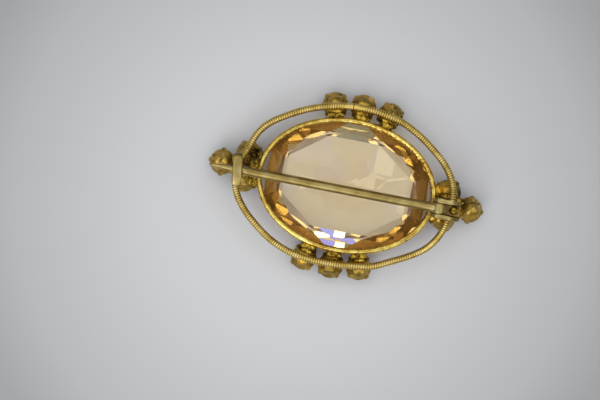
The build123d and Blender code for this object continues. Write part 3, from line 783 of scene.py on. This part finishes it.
def set_solder():
    """The solder that holds it all: at the bezel, along the wire, between the end cups and at the pin's
    fittings."""
    material = gilt_solder()
    bezel, wire, tips = bmesh.new(), bmesh.new(), bmesh.new()
    for number, name in enumerate(cup_names()):
        centre, outward = cup_place(name)
        way = Vector((math.cos(outward), math.sin(outward), 0))
        if name.endswith("_tip"):
            for side in (-1, 1):
                lump(tips, centre - way * 1.75 + Vector((0, side * 0.85, 3.1)), outward,
                     (0.75, 0.6, 0.38), number + side)
        else:
            lump(bezel, centre - way * 1.55 + UP * 3.2, outward, (0.62, 1.15, 0.4), number)
        if name.startswith(("top", "bottom")) or name == "left_lower":
            lump(wire, centre - way * 0.95 + UP * 3.72, outward, (0.34, 0.85, 0.2), number + 20)
    piece("bezel_solder", bezel, material, ["solder_bezel"], sharp=80.0)
    piece("wire_solder", wire, material, ["solder_wire"], sharp=80.0)
    piece("tip_solder", tips, material, ["solder_tips"], sharp=80.0)
    hinge, catch = bmesh.new(), bmesh.new()
    for number, row in enumerate(("upper", "lower")):
        centre, _ = cup_place(f"right_{row}")
        lump(hinge, Vector((centre.x - 0.5, 0.62 * centre.y, 4.05)), 0.3, (0.75, 0.6, 0.45), number + 40)
    low, high = size_of("hinge_bracket")
    tray = Vector((high.x - 0.95, (low.y + high.y) / 2 + 0.1, low.z + 0.55))
    lump(hinge, tray, 0.1, (0.75, 0.6, 0.35), 63)
    centre, _ = cup_place("left_upper")
    lump(catch, Vector((centre.x - 0.1, centre.y - 0.6, 4.1)), 0.2, (0.7, 0.8, 0.5), 51)
    lump(catch, Vector((centre.x + 0.95, centre.y - 0.95, 3.75)), 0.3, (0.75, 1.15, 0.42), 57, 0.45)
    piece("hinge_solder", hinge, material, ["solder_hinge"], sharp=80.0)
    piece("catch_solder", catch, material, ["solder_catch"], sharp=80.0)


# ---------------------------------------------------------------- pin, hinge and catch

def eye_place():
    """The middle of the rivet, which the pin's eye turns on."""
    low, high = size_of("hinge_rivet")
    return (low + high) / 2


def set_pin(material):
    """The pin: an eye on the rivet, a straight drawn stem and a long filed point."""
    low, high = size_of("pin_stem")
    eye = eye_place()
    eye.y, half_width = (low.y + high.y) / 2, (high.y - low.y) / 2
    eye_radius, bore, stem_radius, point_length = high.z - eye.z, 0.46, 0.65, 6.2
    start, neck, tip_radius, tip_length = 0.6, 1.6, 0.06, 0.12
    bm = bmesh.new()
    rows = []
    length = eye.x - low.x
    for index in range(141):
        along = start + (length - start) * index / 140
        left = length - along
        radius = stem_radius
        if left <= point_length:
            radius = tip_radius + (stem_radius - tip_radius) * (left / point_length) ** 0.62
        if left < tip_length:
            radius *= math.sqrt(max(left, 0.01) / tip_length)
        flare = max(0.0, 1 - (along - start) / neck)
        place = Vector((eye.x - along, eye.y, eye.z))
        outline = section(28, radius + 0.08 * flare, radius + 0.12 * flare)
        worn = 1 + noise.noise(place / 2.4) * 0.012
        rows.append(crossing(place, Vector((-1, 0, 0)), UP, [(a * worn, b * worn) for a, b in outline]))
    skin(bm, rows)
    ring = []
    for turn in around(64):
        way = Vector((math.cos(turn), 0, math.sin(turn)))
        middle = (eye_radius + bore) / 2
        across = section(24, (eye_radius - bore) / 2, half_width, 6.0)
        ring.append([eye + way * (middle + a) + Vector((0, b, 0)) for a, b in across])
    skin(bm, ring, loop=True)
    piece("pin", bm, material, ["pin_stem"], body="pin", sharp=50.0)


def set_rivet(material):
    """The rivet, with a peened, slightly domed head at each end."""
    low, high = size_of("hinge_rivet")
    centre = eye_place()
    head, shank = (high.x - low.x) / 2, 0.42
    half = (high.y - low.y) / 2
    profile = [(0.05, half), (0.25, half - 0.005), (0.45, half - 0.03), (0.6, half - 0.07),
               (head, half - 0.11), (head - 0.02, half - 0.14), (shank, half - 0.14)]
    profile += [(radius, -along) for radius, along in reversed(profile)]
    rows = []
    for radius, along in profile:
        rows.append([centre + Vector((radius * math.cos(turn), along, radius * math.sin(turn)))
                     for turn in around(40)])
    bm = bmesh.new()
    skin(bm, rows)
    piece("rivet", bm, material, ["hinge_rivet"], sharp=40.0)


def set_hinge(material):
    """The hinge: one strip of sheet folded up into two long round-topped ears."""
    low, high = size_of("hinge_bracket")
    eye = eye_place()
    middle_y = (low.y + high.y) / 2
    sheet, ear_radius, fold, corner_cut, corner_drop = 0.58, high.z - eye.z, 0.55, 0.9, 1.1
    half_gap = (high.y - low.y) / 2 - sheet / 2
    floor_z = low.z + sheet / 2 - 0.07
    # the folded strip's middle line in the YZ plane, from one ear's top to the other's
    line = [(-half_gap, high.z - 0.02), (-half_gap, floor_z + fold)]
    for turn in range(10, 91, 10):
        bend = math.radians(turn)
        line.append((-half_gap + fold * (1 - math.cos(bend)), floor_z + fold * (1 - math.sin(bend))))
    line += [(-y, z) for y, z in reversed(line)]
    places, ways, _ = evenly([(0, y, z) for y, z in line], 90)
    rows = []
    for place, ahead in zip(places, ways):
        rise = place.z - eye.z
        drop = min(1.0, max(0.0, (high.z - place.z) / (high.z - floor_z)))
        back = math.sqrt(max(ear_radius ** 2 - max(rise, 0.0) ** 2, 0.02))
        back += (eye.x - low.x - ear_radius) * max(0.0, -rise / (eye.z - floor_z))
        front = (high.x - eye.x) * (0.74 + 0.26 * drop ** 0.6)
        front -= corner_cut * max(0.0, 1 - (high.z - place.z) / corner_drop) ** 2
        over = ahead.cross(Vector((1, 0, 0))).normalized()
        middle = Vector((eye.x + (front - back) / 2, middle_y + place.y, place.z))
        half = (front + back) / 2
        rows.append([middle + Vector((across, 0, 0)) + over * upward
                     for across, upward in section(64, half, sheet / 2, 9.0)])
    bm = bmesh.new()
    skin(bm, rows)
    piece("hinge", bm, material, ["hinge_bracket"], sharp=55.0)


def set_catch(material):
    """The catch: a half-round strip bent up from the wire and over the pin, ending in a lip."""
    low, high = size_of("catch_hook")
    pin_low, pin_high = size_of("pin_stem")
    centre = Vector(((low.x + high.x) / 2, (pin_low.y + pin_high.y) / 2, 0))
    thick, half_width, shoulder, turned = 0.35, 0.66, 0.8, 8
    foot_z, arm_z, back_y = low.z + thick / 2, high.z - thick / 2, 2.3
    line = [(0, -0.8, foot_z), (0, back_y - 0.5, foot_z), (0, back_y - 0.15, foot_z + 0.15),
            (0, back_y, foot_z + 0.5), (0, back_y, arm_z - shoulder)]
    for turn in range(15, 91, 15):
        bend = math.radians(turn)
        line.append((0, back_y - shoulder * (1 - math.cos(bend)), arm_z - shoulder * (1 - math.sin(bend))))
    line += [(0, -1.2, arm_z), (0, -1.7, arm_z - 0.08), (0, -2.05, arm_z - 0.22), (0, -2.3, arm_z - 0.38)]
    places, ways, _ = evenly(line, 110)
    spin = Matrix.Rotation(math.radians(turned), 3, "Z")
    rows = []
    for index, (place, ahead) in enumerate(zip(places, ways)):
        share = index / (len(places) - 1)
        over = Vector((1, 0, 0)).cross(ahead).normalized()
        end = min(1.0, (1 - share) * 9 + 0.72)
        rounding = math.sqrt(1 - (max(0.0, place.y - 1.35) / 1.15) ** 2)
        outline = []
        for across, upward in section(28, half_width * end * rounding, thick / 2, 3.0):
            dome = 1 - 0.5 * (across / 0.68) ** 2 if upward > 0 else 1.0
            outline.append((across, upward * dome))
        rows.append([spin @ point + centre for point in crossing(place, ahead, over, outline)])
    bm = bmesh.new()
    skin(bm, rows)
    piece("catch", bm, material, ["catch_hook"], sharp=50.0)


set_camera()
lay_floor()
light_room()
set_main_stone()
set_chatons()
set_bezel()
set_outer_wire()
set_cups()
set_solder()
fittings = pale_brass()
set_pin(fittings)
set_rivet(fittings)
set_hinge(fittings)
set_catch(fittings)
bpy.context.scene.view_settings.view_transform = "Standard"
